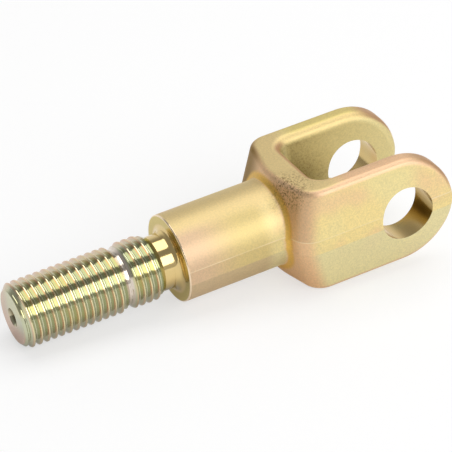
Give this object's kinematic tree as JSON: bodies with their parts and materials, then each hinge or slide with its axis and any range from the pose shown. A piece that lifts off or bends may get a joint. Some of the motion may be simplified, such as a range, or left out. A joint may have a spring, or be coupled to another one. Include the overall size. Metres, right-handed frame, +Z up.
{
  "type": "clevis rod end",
  "caption": "Forged steel clevis rod end: a fork with a cross bore for a pin, a round shank with a flat shoulder, and a necked, threaded stud.",
  "frame": {"origin": "centre of the pin bore, midway between the ears", "axes": "+Y along the pin bore; +Z up from the table; the rod axis lies in the XZ plane and the stud points towards -X, dipping by the angle at which the part rests"},
  "size_m": [0.2021, 0.063, 0.0554],
  "materials": {
    "chromated_steel": "satin yellow-chromated zinc on forged steel"
  },
  "bodies": {
    "root": {"clevis_rod_end": "chromated_steel"}
  },
  "joints": []
}
